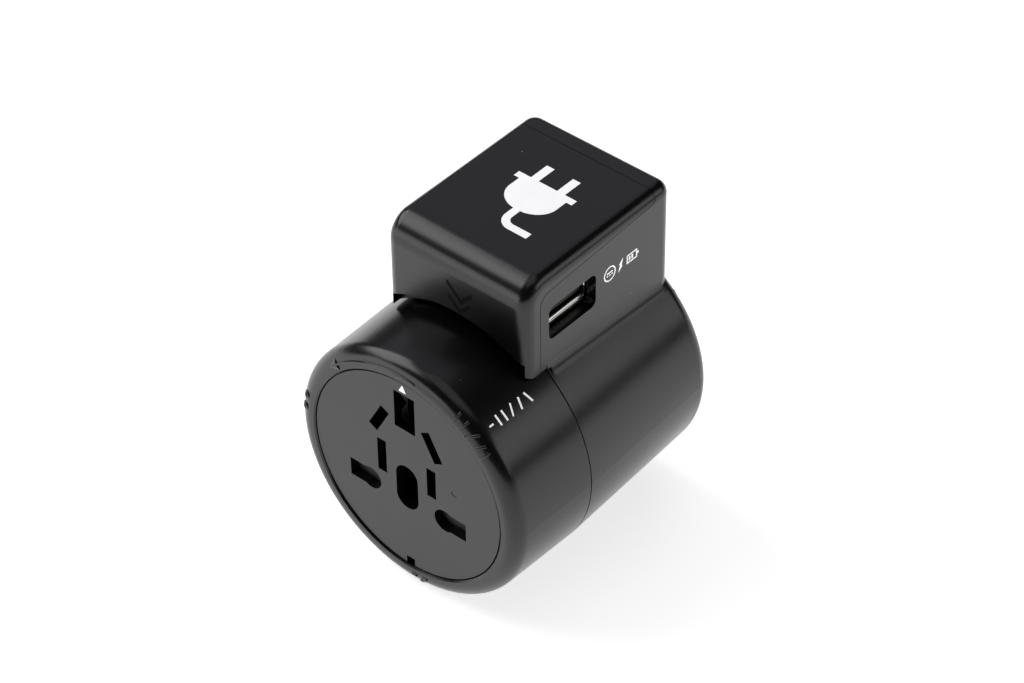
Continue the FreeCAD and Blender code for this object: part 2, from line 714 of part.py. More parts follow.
def rear_plate():
    """The round plate that closes the rear, with an aperture for every pin."""
    body = new_body("rear_plate")
    depth = ("shell_front", "body_length")
    rod(body, "disc", "rear_plate_radius", depth)
    through = ("shell_front - 1", "body_length + 1")
    rounded(body, "rim", "0.4", lambda edge: at(edge, "y", value("body_length")))
    tilted_block(body, "earth_way", ("0", "uk_pin_z + uk_earth_rise"),
                 ("uk_earth_width + 2 * pin_gap", "uk_earth_height + 2 * pin_gap"), through, 0, cut=True)
    for side, sign in SIDES.items():
        tilted_block(body, "uk_way_" + side, ("%d * uk_pin_x" % sign, "uk_pin_z"),
                     ("uk_pin_width + 2 * pin_gap", "uk_pin_height + 2 * pin_gap"),
                     through, 0, cut=True)
        rod(body, "eu_way_" + side, "eu_pin_radius + pin_gap", through,
            "%d * eu_pin_x" % sign, "eu_pin_z", cut=True)
        for step in range(5):
            turn = -sign * value("us_swivel") * step / 4
            tilted_block(body, "us_way_%s_%d" % (side, step), ("%d * us_pin_x" % sign, "us_pin_z"),
                         ("us_blade_width + 2 * pin_gap", "us_blade_height + 2 * pin_gap"),
                         through, turn, cut=True)
    for index, (x, z) in enumerate(SCREW_PLACES):
        rod(body, "screw_way_%d" % index, "screw_shank + 0.1", through, x, z, cut=True)
        rod(body, "screw_sink_%d" % index, "screw_head + 0.15", ("body_length - 1.2", "body_length + 1"),
            x, z, cut=True)


def rear_plate_screws():
    """Four cross-head screws, sunk into the rear plate."""
    body = new_body("rear_plate_screws")
    for index, (x, z) in enumerate(SCREW_PLACES):
        rod(body, "head_%d" % index, "screw_head", ("body_length - 1.15", "body_length - 0.15"), x, z)
        rod(body, "shank_%d" % index, "screw_shank - 0.05", ("52", "body_length - 1.1"), x, z)
        for tilt in (0, 90):
            tilted_block(body, "cross_%d_%d" % (index, tilt), (x, z), ("0.45", "2.2"),
                         ("body_length - 0.75", "body_length"), tilt, cut=True)


# ---------------------------------------------------------------- inside the rear half

def inner_frame():
    """The bulkhead between the socket and the plug carriages."""
    body = new_body("inner_frame")
    rod(body, "disc", "frame_radius", ("frame_front", "frame_rear"))
    for side, sign in SIDES.items():
        lug = ("24", "25.9") if sign > 0 else ("-25.9", "-24")
        block(body, "lug_" + side, lug, ("frame_front", "frame_rear"), ("-3", "3"))
        rod(body, "wire_hole_" + side, "1.2", ("frame_front - 1", "frame_rear + 1"),
            "%d * 10" % sign, "-14", cut=True)
    block(body, "arm_slot", ("-arm_half - 0.5", "arm_half + 0.5"), ("frame_front - 1", "frame_rear + 1"),
          ("-26", "arm_high + 0.5"), cut=True)


def detent_spring():
    """A bent leaf on the inner frame whose nose rests at the cam ring's rear rim."""
    body = new_body("detent_spring")
    block(body, "foot", ("17.5", "21.5"), ("frame_front - 0.4", "frame_front"), ("6", "10"))
    block(body, "leaf", ("20.5", "23.6"), ("frame_front - 0.4", "frame_front"), ("6.8", "9.2"))
    rod(body, "nose", "0.7", ("cam_rear + 0.1", "frame_front - 0.4"), "22.3", "8")


def fuse():
    body = new_body("fuse")
    tube = feature(body, "Cylinder", "tube", False)
    tube.Placement = Placement(Vector(), Rotation(Vector(0, 1, 0), 90))
    bind(tube, "Radius", "fuse_radius")
    bind(tube, "Height", "fuse_length")
    bind(tube, "Placement.Base.x", "-fuse_length / 2")
    bind(tube, "Placement.Base.y", "fuse_y")
    bind(tube, "Placement.Base.z", "fuse_z")


def fuse_clips():
    """Two brass clips that hold the fuse by its end caps."""
    body = new_body("fuse_clips")
    for side, sign in SIDES.items():
        ends = ("9.2", "12.2") if sign > 0 else ("-12.2", "-9.2")
        block(body, "clip_" + side, ends, ("core_rear", "fuse_y + 2.4"),
              ("fuse_z - fuse_radius - brass", "fuse_z + fuse_radius + brass"))
        block(body, "clip_room_" + side, ends, ("core_rear + brass", "fuse_y + 3"),
              ("fuse_z - fuse_radius", "fuse_z + fuse_radius"), cut=True)


def guide_rods():
    """Four steel rods from the inner frame to the rear plate, on which the carriages run."""
    body = new_body("guide_rods")
    places = (("-15.6", "4"), ("15.6", "4"), ("0", "eu_pin_z"), ("0", "us_pin_z"))
    for index, (x, z) in enumerate(places):
        rod(body, "rod_%d" % index, "rod_radius", ("frame_rear", "shell_front"), x, z)


def bus_rails():
    """Brass strips beside the carriages, which feed the pins that are out."""
    body = new_body("bus_rails")
    for side, sign in SIDES.items():
        ends = ("18.9", "19.5") if sign > 0 else ("-19.5", "-18.9")
        block(body, "rail_" + side, ends, ("frame_rear", "shell_front - 0.5"), ("-7.5", "-3"))


def uk_carriage():
    """The frame that carries the UK pins, an upside-down U clear of the other two sets."""
    body = new_body("uk_carriage")
    depth = ("uk_front", "uk_front + uk_thickness")
    extruded(body, "frame", [
        ("-4", "20.6"), ("4", "20.6"), ("4", "15.2"), ("15.8", "15.2"), ("18.3", "11"),
        ("18.3", "-8.4"), ("7.6", "-8.4"), ("7.6", "-3.8"), ("13.2", "-3.8"), ("13.2", "11.5"),
        ("-13.2", "11.5"), ("-13.2", "-3.8"), ("-7.6", "-3.8"), ("-7.6", "-8.4"),
        ("-18.3", "-8.4"), ("-18.3", "11"), ("-15.8", "15.2"), ("-4", "15.2")], depth)
    for side, sign in SIDES.items():
        rod(body, "rod_way_" + side, "rod_radius + rod_clearance",
            ("uk_front - 1", "uk_front + uk_thickness + 1"), "%d * 15.6" % sign, "4", cut=True)


def uk_line_neutral_pins():
    body = new_body("uk_line_neutral_pins")
    for side, sign in SIDES.items():
        tilted_block(body, "pin_" + side, ("%d * uk_pin_x" % sign, "uk_pin_z"),
                     ("uk_pin_width", "uk_pin_height"),
                     ("uk_front + uk_thickness", "uk_pin_tip"), 0)
    doc.recompute()
    rounded(body, "tips", "1.2", lambda edge: at(edge, "y", value("uk_pin_tip")) and edge.Length > 6)


def uk_earth_pin():
    body = new_body("uk_earth_pin")
    tilted_block(body, "pin", ("0", "uk_pin_z + uk_earth_rise"),
                 ("uk_earth_width", "uk_earth_height"), ("uk_front + uk_thickness", "pin_tip"), 0)
    rounded(body, "tip", "1.2", lambda edge: at(edge, "y", value("pin_tip")) and edge.Length > 6)


def eu_carriage():
    """The bar that carries the two round European pins."""
    body = new_body("eu_carriage")
    depth = ("eu_front", "eu_front + eu_thickness")
    block(body, "bar", ("-12.2", "12.2"), depth, ("eu_pin_z - 2.6", "eu_pin_z + 2.6"))
    rod(body, "rod_way", "rod_radius + rod_clearance",
        ("eu_front - 1", "eu_front + eu_thickness + 1"), "0", "eu_pin_z", cut=True)


def eu_pins():
    body = new_body("eu_pins")
    for side, sign in SIDES.items():
        rod(body, "pin_" + side, "eu_pin_radius", ("eu_front + eu_thickness", "pin_tip"),
            "%d * eu_pin_x" % sign, "eu_pin_z")
    doc.recompute()
    rounded(body, "tips", "1.2", lambda edge: at(edge, "y", value("pin_tip")))


def us_carriage():
    """The block that carries the swivelling blades, with the arm that reaches the cam."""
    body = new_body("us_carriage")
    depth = ("us_front", "us_front + us_thickness")
    block(body, "frame", ("-10.2", "10.2"), depth, ("-17.4", "-8.9"))
    block(body, "leg", ("-arm_half", "arm_half"), depth, ("arm_low", "-17.4"))
    block(body, "arm", ("-arm_half", "arm_half"), ("cam_start - 1.8", "us_front"),
          ("arm_low", "arm_high"))
    through = ("us_front - 1", "us_front + us_thickness + 1")
    rod(body, "rod_way", "rod_radius + rod_clearance", through, "0", "us_pin_z", cut=True)
    for side, sign in SIDES.items():
        rod(body, "boss_way_" + side, "us_boss_radius + 0.06", through,
            "%d * us_pin_x" % sign, "us_pin_z", cut=True)
    post(body, "pin_socket", "cam_pin_radius - 0.4", ("arm_low - 1", "arm_high - 0.5"),
         "0", "cam_start", cut=True)


def us_follower_pin():
    """The steel pin at the end of the arm, which rides in the cam slot."""
    body = new_body("us_follower_pin")
    post(body, "pin", "cam_pin_radius", ("-24.6", "arm_low"), "0", "cam_start")
    post(body, "stem", "cam_pin_radius - 0.42", ("arm_low", "arm_high - 0.5"), "0", "cam_start")


def us_blade(side, sign):
    """One flat blade on a round boss, which turns 30 degrees for Australian sockets."""
    body = new_body("us_blade_" + side)
    x = "%d * us_pin_x" % sign
    rod(body, "boss", "us_boss_radius", ("us_front", "us_front + us_thickness - 0.3"), x, "us_pin_z")
    tilted_block(body, "blade", (x, "us_pin_z"), ("us_blade_width", "us_blade_height"),
                 ("us_front + us_thickness", "pin_tip"), 0)
    tilted_block(body, "neck", (x, "us_pin_z"), ("us_blade_width", "us_boss_radius * 1.6"),
                 ("us_front + us_thickness - 0.4", "us_front + us_thickness"), 0)
    rounded(body, "tip", "0.5", lambda edge: at(edge, "y", value("pin_tip")) and edge.Length > 6)


# ---------------------------------------------------------------- USB charger

def usb_board():
    body = new_body("usb_board")
    block(body, "board", ("-14.8", "13"), ("20", "56"), ("board_low", "board_top"))
    for side, sign in SIDES.items():
        for place in (22, 54):
            post(body, "foot_%s_%d" % (side, place), "1.4", ("box_floor", "board_low"),
                 "%d * 11.4" % sign, place)


def usb_port_shell():
    """The bright metal sleeve of the USB-A socket, with flared lips round its mouth."""
    body = new_body("usb_port_shell")
    long = ("shell_face - shell_depth", "shell_face")
    low, high = ("port_y - shell_width / 2", "port_y + shell_width / 2")
    block(body, "sleeve", long, (low, high), ("shell_low", "shell_high"))
    lip = ("shell_face - shell_metal", "shell_face")
    block(body, "lip_below", lip, (low, high), ("lip_low", "shell_low + shell_metal"))
    block(body, "lip_above", lip, (low, high), ("shell_high - shell_metal", "lip_high"))
    upright = ("shell_low + 1", "shell_high - 1")
    block(body, "lip_front", lip, ("port_y - lip_half", low + " + shell_metal"), upright)
    block(body, "lip_rear", lip, (high + " - shell_metal", "port_y + lip_half"), upright)
    mouth = block(body, "mouth", (long[0] + " + shell_metal", long[1] + " + 1"),
                  (low + " + shell_metal", high + " - shell_metal"),
                  ("shell_low + shell_metal", "shell_high - shell_metal"), cut=True)
    body.Tip = mouth
    rounded(body, "mouth_edge", "lip_round",
            lambda edge: at(edge, "x", value("shell_face"))
            and at(edge, "z", value("shell_low") + value("shell_metal")))


def usb_port_tongue():
    """The insulator inside the USB socket: a back block and the contact tongue."""
    body = new_body("usb_port_tongue")
    block(body, "back", ("shell_face - shell_depth + shell_metal", "shell_face - 9.5"),
          ("port_y - shell_width / 2 + shell_metal", "port_y + shell_width / 2 - shell_metal"),
          ("shell_low + shell_metal", "shell_high - shell_metal"))
    block(body, "tongue", ("shell_face - 9.5", "shell_face - 0.4"),
          ("port_y - tongue_width / 2", "port_y + tongue_width / 2"), ("tongue_low", "tongue_high"))


def usb_contacts():
    body = new_body("usb_contacts")
    for index in range(4):
        middle = "port_y + %g" % ((-3.5, -1, 1, 3.5)[index])
        block(body, "strip_%d" % index, ("shell_face - 9.4", "shell_face - 1.6"),
              (middle + " - 0.5", middle + " + 0.5"), ("tongue_high", "tongue_high + 0.15"))


def transformer():
    body = new_body("transformer")
    block(body, "core", ("-13.5", "-1.5"), ("24", "36"), ("board_top + 1", "board_top + 11"))
    block(body, "bobbin", ("-12", "-3"), ("22.5", "37.5"), ("board_top", "board_top + 12"))


def capacitors():
    body = new_body("capacitors")
    post(body, "large", "4.2", ("board_top", "board_top + 12.2"), "-8.5", "47")
    post(body, "small", "2.6", ("board_top", "board_top + 9"), "2", "50")
    post(body, "output", "2.6", ("board_top", "board_top + 9"), "10", "50")


def board_chips():
    body = new_body("board_chips")
    block(body, "controller", ("1", "6"), ("41", "45"), ("board_top", "board_top + 1.6"))
    block(body, "rectifier", ("9", "13"), ("40", "45.4"), ("board_top", "board_top + 2.2"))


twist_collar()
cam_ring()
collar_retaining_ring()
face_plate()
socket_shutter()
shutter_spring()
socket_core()
blade_contact("contact_neutral", -1)
blade_contact("contact_line", 1)
contact_earth()
top_cover()
finish_housing(rear_housing())
rear_plate()
rear_plate_screws()
inner_frame()
detent_spring()
fuse()
fuse_clips()
guide_rods()
bus_rails()
uk_carriage()
uk_line_neutral_pins()
uk_earth_pin()
eu_carriage()
eu_pins()
us_carriage()
us_follower_pin()
for blade_side, blade_sign in SIDES.items():
    us_blade(blade_side, blade_sign)
usb_board()
usb_port_shell()
usb_port_tongue()
usb_contacts()
transformer()
capacitors()
board_chips()
doc.recompute()

for item in doc.Objects:
    if "Invalid" in item.State or "Error" in item.State:
        raise RuntimeError("%s failed: %s" % (item.Label, item.State))

os.makedirs("parts", exist_ok=True)
nodes = [item for item in doc.Objects
         if item.isDerivedFrom("PartDesign::Body") or item.TypeId == "Part::Feature"]
for node in nodes:
    if node.Shape.isNull() or not node.Shape.isValid():
        raise RuntimeError(node.Label + " has no valid shape")
    node.Shape.exportStep(os.path.join("parts", node.Label + ".step"))
    print("%-24s solids %d  volume %.1f" % (node.Label, len(node.Shape.Solids), node.Shape.Volume))
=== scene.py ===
import json
import math

import bmesh
import bpy
from mathutils import Matrix, Vector


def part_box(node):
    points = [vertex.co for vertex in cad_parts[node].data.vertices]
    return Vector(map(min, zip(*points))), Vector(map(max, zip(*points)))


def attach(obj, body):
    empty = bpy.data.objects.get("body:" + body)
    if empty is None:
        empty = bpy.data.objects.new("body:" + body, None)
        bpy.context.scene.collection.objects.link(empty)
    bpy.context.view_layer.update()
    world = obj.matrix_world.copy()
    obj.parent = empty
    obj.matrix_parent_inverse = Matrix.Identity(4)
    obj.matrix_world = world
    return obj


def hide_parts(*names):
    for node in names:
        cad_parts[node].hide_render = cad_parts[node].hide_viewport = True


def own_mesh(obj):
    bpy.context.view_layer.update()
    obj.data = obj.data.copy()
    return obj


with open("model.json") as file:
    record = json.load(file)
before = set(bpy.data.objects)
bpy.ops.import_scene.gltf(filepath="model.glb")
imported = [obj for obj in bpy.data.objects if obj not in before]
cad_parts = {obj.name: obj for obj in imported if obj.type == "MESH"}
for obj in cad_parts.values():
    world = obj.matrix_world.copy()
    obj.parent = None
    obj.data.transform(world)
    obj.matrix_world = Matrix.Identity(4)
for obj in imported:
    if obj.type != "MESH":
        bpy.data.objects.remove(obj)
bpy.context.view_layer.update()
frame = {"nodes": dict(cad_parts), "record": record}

MM = 0.001

# Places that the whole scene hangs on, read from the frame, in metres
COLLAR_LOW, COLLAR_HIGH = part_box("twist_collar")
COVER_LOW, COVER_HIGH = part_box("top_cover")
SLEEVE_LOW, SLEEVE_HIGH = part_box("usb_port_shell")
SPRING_LOW, SPRING_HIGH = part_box("shutter_spring")
PLATE_FRONT_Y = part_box("face_plate")[0].y
BODY_REAR_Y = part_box("rear_housing")[1].y
BODY_FRONT_Y = COLLAR_LOW.y
AXIS_Z = (COLLAR_LOW.z + COLLAR_HIGH.z) / 2
COLLAR_LENGTH = COLLAR_HIGH.y - COLLAR_LOW.y

# The collar tapers towards its rounded front rim, whose marks have their true length at one radius
TAPER = 0.51 * MM
RIM_ROUND = 3.15 * MM
COLLAR_REAR_RADIUS = (COLLAR_HIGH.z - COLLAR_LOW.z) / 2
COLLAR_FRONT_RADIUS = COLLAR_REAR_RADIUS - TAPER
RIM_FLAT_RADIUS = COLLAR_FRONT_RADIUS - RIM_ROUND
RIM_MARK_RADIUS = RIM_FLAT_RADIUS + 1.2 * MM

# Heights of the marks' strips above the surface
PRINTED = 0.02 * MM
# The strips of painted shade over the front wall's grooves lie this high
GROOVE_SHADE_STRIP = 0.015 * MM
RAISED = 0.3 * MM

# Strips higher than this are domed across, and keep about a third of their height at the edges
DOMED_FROM = 0.1 * MM
EDGE_FALL = 0.9

# How far a strip's underside lies below the surface, and the bend from which its edges stay sharp
SINK = 0.05 * MM
SHARP_ANGLE = math.radians(50)

DUST_COLOUR = (0.5, 0.5, 0.48, 1)


# ---------------------------------------------------------------- materials

def node(tree, kind, **inputs):
    """Adds a shader node and sets its inputs by name."""
    item = tree.nodes.new(kind)
    for name, setting in inputs.items():
        item.inputs[name.replace("_", " ")].default_value = setting
    return item


def ramp(tree, source, stops):
    """A colour ramp on a value, with stops of (position, colour or grey)."""
    item = tree.nodes.new("ShaderNodeValToRGB")
    for index, (position, colour) in enumerate(stops):
        stop = item.color_ramp.elements[index] if index < 2 else item.color_ramp.elements.new(position)
        stop.position = position
        stop.color = (colour, colour, colour, 1) if isinstance(colour, float) else (*colour, 1)
    tree.links.new(source, item.inputs["Fac"])
    return item.outputs["Color"]


def material(name, **settings):
    """A material whose Principled shader has these settings, and its tree and shader."""
    made = bpy.data.materials.new(name)
    made.use_nodes = True
    shader = made.node_tree.nodes["Principled BSDF"]
    for key, setting in settings.items():
        shader.inputs[key.replace("_", " ")].default_value = setting
    return made, made.node_tree, shader


def noise(tree, scale, detail=3.0, roughness=0.6):
    """Noise in the object's own coordinates; scale counts features per metre."""
    place = tree.nodes.new("ShaderNodeTexCoord")
    item = node(tree, "ShaderNodeTexNoise", Scale=scale, Detail=detail, Roughness=roughness)
    tree.links.new(place.outputs["Object"], item.inputs["Vector"])
    return item.outputs["Fac"]


def relief(tree, shader, source, strength, distance):
    """Lets a value raise and lower the shaded surface."""
    item = node(tree, "ShaderNodeBump", Strength=strength, Distance=distance)
    tree.links.new(source, item.inputs["Height"])
    tree.links.new(item.outputs["Normal"], shader.inputs["Normal"])


def with_dust(tree, colour, amount):
    """Scatters a few pale specks over a colour."""
    place = tree.nodes.new("ShaderNodeTexCoord")
    cells = node(tree, "ShaderNodeTexVoronoi", Scale=260.0, Randomness=1.0)
    tree.links.new(place.outputs["Object"], cells.inputs["Vector"])
    speck = ramp(tree, cells.outputs["Distance"], [(0.02, 1.0), (0.05, 0.0)])
    where = ramp(tree, noise(tree, 700, 1), [(0.56, 0.0), (0.6, amount)])
    both = tree.nodes.new("ShaderNodeMath")
    both.operation = "MULTIPLY"
    tree.links.new(speck, both.inputs[0])
    tree.links.new(where, both.inputs[1])
    mix = tree.nodes.new("ShaderNodeMix")
    mix.data_type = "RGBA"
    mix.inputs["B"].default_value = DUST_COLOUR
    tree.links.new(both.outputs[0], mix.inputs["Factor"])
    tree.links.new(colour, mix.inputs["A"])
    return mix.outputs["Result"]


def moulded_plastic(name, dark, light, rough, grain=2600, bump=0.1, dust=0.0, **settings):
    """Moulded plastic: fine spark-eroded grain, faint clouds in tone and gloss, stray dust."""
    made, tree, shader = material(name, **settings)
    colour = ramp(tree, noise(tree, 90, 4), [(0.35, dark), (0.7, light)])
    gloss = ramp(tree, noise(tree, 160, 5), [(0.3, rough * 0.93), (0.75, rough * 1.08)])
    tree.links.new(gloss, shader.inputs["Roughness"])
    if dust:
        colour = with_dust(tree, colour, dust)
    tree.links.new(colour, shader.inputs["Base Color"])
    relief(tree, shader, noise(tree, grain, 2), bump, 0.06 * MM)
    return made


def plated_metal(name, dark, light, rough, scratch=900.0):
    """Plated or rolled metal: drawn along Y with faint scratches and handling marks."""
    made, tree, shader = material(name, Metallic=1.0)
    place = tree.nodes.new("ShaderNodeTexCoord")
    stretch = tree.nodes.new("ShaderNodeMapping")
    stretch.inputs["Scale"].default_value = (1.0, 0.06, 1.0)
    tree.links.new(place.outputs["Object"], stretch.inputs["Vector"])
    lines = node(tree, "ShaderNodeTexNoise", Scale=scratch, Detail=4.0)
    tree.links.new(stretch.outputs["Vector"], lines.inputs["Vector"])
    colour = ramp(tree, lines.outputs["Fac"], [(0.3, dark), (0.7, light)])
    tree.links.new(colour, shader.inputs["Base Color"])
    gloss = ramp(tree, noise(tree, 200, 4), [(0.3, rough * 0.8), (0.7, rough * 1.3)])
    tree.links.new(gloss, shader.inputs["Roughness"])
    relief(tree, shader, lines.outputs["Fac"], 0.08, 0.03 * MM)
    return made


def grey(level):
    """A grey with the slightest blue."""
    return (level, level, level * 1.03)


FINISHES = {
    "shell_plastic": moulded_plastic("shell_plastic", grey(0.0014), grey(0.0022), 0.25, dust=0.5),
    "plate_plastic": moulded_plastic("plate_plastic", grey(0.0016), grey(0.0024), 0.3, dust=0.3),
    "inner_plastic": moulded_plastic("inner_plastic", grey(0.0008), grey(0.0014), 0.6),
    "shutter_plastic": moulded_plastic("shutter_plastic", grey(0.03), grey(0.045), 0.5),
    "carriage_plastic": moulded_plastic("carriage_plastic", grey(0.04), grey(0.06), 0.5),
    "chip_plastic": moulded_plastic("chip_plastic", grey(0.02), grey(0.03), 0.45),
    "fuse_ceramic": moulded_plastic("fuse_ceramic", (0.7, 0.68, 0.63), (0.8, 0.78, 0.73), 0.3),
    "circuit_board": moulded_plastic("circuit_board", (0.01, 0.1, 0.04), (0.02, 0.17, 0.06), 0.35),
    "winding": moulded_plastic("winding", (0.55, 0.4, 0.08), (0.7, 0.52, 0.12), 0.4),
    "nickel": plated_metal("nickel", (0.6, 0.59, 0.56), (0.72, 0.71, 0.68), 0.22),
    "steel": plated_metal("steel", (0.42, 0.42, 0.42), (0.58, 0.58, 0.58), 0.3),
    "brass": plated_metal("brass", (0.62, 0.44, 0.18), (0.78, 0.58, 0.27), 0.28),
    "can": plated_metal("can", (0.5, 0.51, 0.55), (0.66, 0.67, 0.7), 0.3),
    # The white print also glows a little (emission 0.38): painted light that makes it brighter than the
    # lamps alone would
    "white_print": moulded_plastic("white_print", (0.82, 0.82, 0.83), (0.92, 0.92, 0.93), 0.5, grain=5000,
                                   bump=0.05, Emission_Color=(1, 1, 1, 1), Emission_Strength=0.38),
    # Painted shade: a near-black, matte, barely shiny finish for the strips laid over the front wall's
    # grooves
    "painted_groove_shade": moulded_plastic("painted_groove_shade", grey(0.001), grey(0.002), 0.95, bump=0.3, Specular_IOR_Level=0.15),
}

for part in frame["record"]["subparts"]:
    shape = frame["nodes"][part["node"]]
    shape.data.materials.clear()
    shape.data.materials.append(FINISHES[part["material_slot"]])


# ---------------------------------------------------------------- pieces in general

def closed_piece(name, vertices, faces):
    """Adds a closed mesh to the scene, with every face pointing outwards."""
    mesh = bpy.data.meshes.new(name)
    mesh.from_pydata(vertices, [], faces)
    mesh.validate()
    mesh.update()
    piece = bpy.data.objects.new(name, mesh)
    bpy.context.scene.collection.objects.link(piece)
    work = bmesh.new()
    work.from_mesh(mesh)
    bmesh.ops.recalc_face_normals(work, faces=work.faces)
    work.to_mesh(mesh)
    work.free()
    return piece


def dress(piece, finish, body):
    """Gives a piece its finish, and lets it ride on a body."""
    piece.data.materials.append(FINISHES[finish])
    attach(piece, body)


def turns_of(sides):
    """The angles of a ring's points."""
    return [2 * math.pi * side / sides for side in range(sides)]


def skin(rings):
    """Points and faces of a closed bar that runs through rings of equally many points."""
    sides = len(rings[0])
    vertices = [point for ring in rings for point in ring]
    faces = []
    for first in range(0, len(vertices) - sides, sides):
        for side in range(sides):
            after = (side + 1) % sides
            faces.append((first + side, first + after, first + sides + after, first + sides + side))
    faces.append(tuple(reversed(range(sides))))
    faces.append(tuple(range(len(vertices) - sides, len(vertices))))
    return vertices, faces


# ---------------------------------------------------------------- strokes laid on surfaces

def crown(height, lanes):
    """Heights across a strip: domed down to a third at its edges if raised, and level if thin."""
    if height <= DOMED_FROM:
        return [height] * (lanes + 1)
    return [height * math.sqrt(1 - EDGE_FALL * (2 * lane / lanes - 1) ** 2) for lane in range(lanes + 1)]


def ribbon(vertices, faces, centre, half_width, place, height, steps=16, lanes=4):
    """Adds one closed strip along centre(t), as wide as 2 * half_width(t).

    place(u, v, h) turns flat coordinates and a height above the surface into a point.
    """
    rows = []
    nudge = 1e-3
    for index in range(steps + 1):
        t = index / steps
        here = Vector(centre(t))
        ahead = Vector(centre(min(1.0, t + nudge))) - Vector(centre(max(0.0, t - nudge)))
        side = Vector((-ahead.y, ahead.x)).normalized() * half_width(t)
        rows.append([here + side * (2 * lane / lanes - 1) for lane in range(lanes + 1)])
    first = len(vertices)
    for levels in (crown(height, lanes), [-SINK] * (lanes + 1)):
        vertices.extend(place(point.x, point.y, level) for row in rows for point, level in zip(row, levels))
    across = lanes + 1
    layer = (steps + 1) * across
    for index in range(steps):
        for lane in range(lanes):
            corner = first + index * across + lane
            quad = (corner, corner + 1, corner + across + 1, corner + across)
            faces.append(quad)
            faces.append(tuple(layer + item for item in reversed(quad)))
    edge = [index * across for index in range(steps + 1)]
    edge += [steps * across + lane for lane in range(1, lanes + 1)]
    edge += [index * across + lanes for index in range(steps - 1, -1, -1)]
    edge += [lane for lane in range(lanes - 1, 0, -1)]
    for low, high in zip(edge, edge[1:] + edge[:1]):
        faces.append((first + low, first + high, first + high + layer, first + low + layer))


def mark(name, strokes, place, height, body, finish):
    """One printed or raised mark made of ribbons, riding on a body."""
    vertices, faces = [], []
    for centre, half_width, *counts in strokes:
        ribbon(vertices, faces, centre, half_width, place, height, *counts)
    piece = closed_piece(name, vertices, faces)
    if height > DOMED_FROM:
        piece.data.shade_smooth()
        piece.data.set_sharp_from_angle(angle=SHARP_ANGLE)
    dress(piece, finish, body)


def straight(start, end):
    """A straight centre line between two flat points."""
    return lambda t: (start[0] + (end[0] - start[0]) * t, start[1] + (end[1] - start[1]) * t)


def bent(left, tip, right):
    """A centre line from the left end through the tip to the right end."""
    def point(t):
        start, end, share = (left, tip, 2 * t) if t < 0.5 else (tip, right, 2 * t - 1)
        return straight(start, end)(share)
    return point


def arc(centre, radius, start, end):
    """A centre line along a circle, between two angles in degrees."""
    def point(t):
        angle = math.radians(start + (end - start) * t)
        return (centre[0] + radius * math.cos(angle), centre[1] + radius * math.sin(angle))
    return point


def even(width):
    """Half widths of a stroke that is equally wide all along."""
    return lambda t: width / 2


def tapered(start, end):
    """Half widths of a stroke that changes evenly from one width to another."""
    return lambda t: (start + (end - start) * t) / 2


def bar(start, end, width, steps=8):
    """A straight stroke of one width."""
    return (straight(start, end), even(width), steps)


def scaled(strokes, size, shift=(0, 0)):
    """The same strokes at another size and place, with their widths to match."""
    out = []
    for centre, width, *counts in strokes:
        out.append((
            lambda t, c=centre: (c(t)[0] * size + shift[0], c(t)[1] * size + shift[1]),
            lambda t, w=width: w(t) * size,
            *counts))
    return out


# ---------------------------------------------------------------- surfaces that marks are laid on

def on_roof(u, v, height):
    """Flat coordinates from the middle of the roof, u to the right and v rearwards."""
    return (u, (COVER_LOW.y + BODY_REAR_Y) / 2 + v, COVER_HIGH.z + height)


def on_side(u, v, height):
    """Flat coordinates on the box's right side, u rearwards from the body's front, v up."""
    return (COVER_HIGH.x + height, BODY_FRONT_Y + u, AXIS_Z + v)


def on_plate(u, v, height):
    """Flat coordinates on the face plate, from the long axis."""
    return (u, PLATE_FRONT_Y - height, AXIS_Z + v)


def on_wall(u, v, height):
    """Flat coordinates on the box's front wall, from the long axis."""
    return (u, COVER_LOW.y - height, AXIS_Z + v)


def around_collar(middle):
    """A surface round the collar's side: u rearwards from the front, v round from a middle angle."""
    def place(u, v, height):
        radius = COLLAR_FRONT_RADIUS + TAPER * u / COLLAR_LENGTH + height
        angle = math.radians(middle) - v / radius
        return (radius * math.sin(angle), BODY_FRONT_Y + u, AXIS_Z + radius * math.cos(angle))
    return place


def around_rim(middle):
    """A surface round the collar's front rim: u clockwise, v outwards over the rounding."""
    def place(u, v, height):
        bend = max(0.0, v) / RIM_ROUND
        radius = RIM_FLAT_RADIUS + min(v, 0.0) + (RIM_ROUND + height) * math.sin(bend)
        depth = RIM_ROUND - (RIM_ROUND + height) * math.cos(bend)
        angle = math.radians(middle) + u / RIM_MARK_RADIUS
        return (radius * math.sin(angle), BODY_FRONT_Y + depth, AXIS_Z + radius * math.cos(angle))
    return place


# ---------------------------------------------------------------- pictograms

def plug_icon():
    """A plain two-pin plug with its lead, about 18 units tall."""
    cup_radius = 5.2
    round_share = 0.625

    def cup(t):
        return cup_radius * math.sqrt(1 - (1 - min(1.0, t / round_share)) ** 2)
    return [
        (straight((0, -3.6), (0, 3.2)), cup, 40, 12),
        bar((-6.4, 3.9), (6.4, 3.9), 1.4),
        bar((-2.9, 4.6), (-2.9, 8.8), 1.7),
        bar((2.9, 4.6), (2.9, 8.8), 1.7),
        bar((0, -5.5), (0, -3.55), 1.5),
        (arc((2.2, -5.5), 2.2, 180, 270), even(1.5), 16),
        bar((2.2, -7.7), (6.2, -7.7), 1.5),
    ]


def station_icon():
    """A dash, two straight bars, a slash and two slanted bars: the US and Australian pin shapes."""
    return [
        bar((3.7, 0), (4.8, 0), 0.35),
        bar((6.2, -1.15), (6.2, 1.15), 0.42),
        bar((7.9, -1.15), (7.9, 1.15), 0.42),
        bar((9.4, -1.2), (10.4, 1.2), 0.36),
        bar((11.9, -1.15), (12.6, 1.15), 0.42),
        bar((14.9, -1.15), (14.2, 1.15), 0.42),
    ]


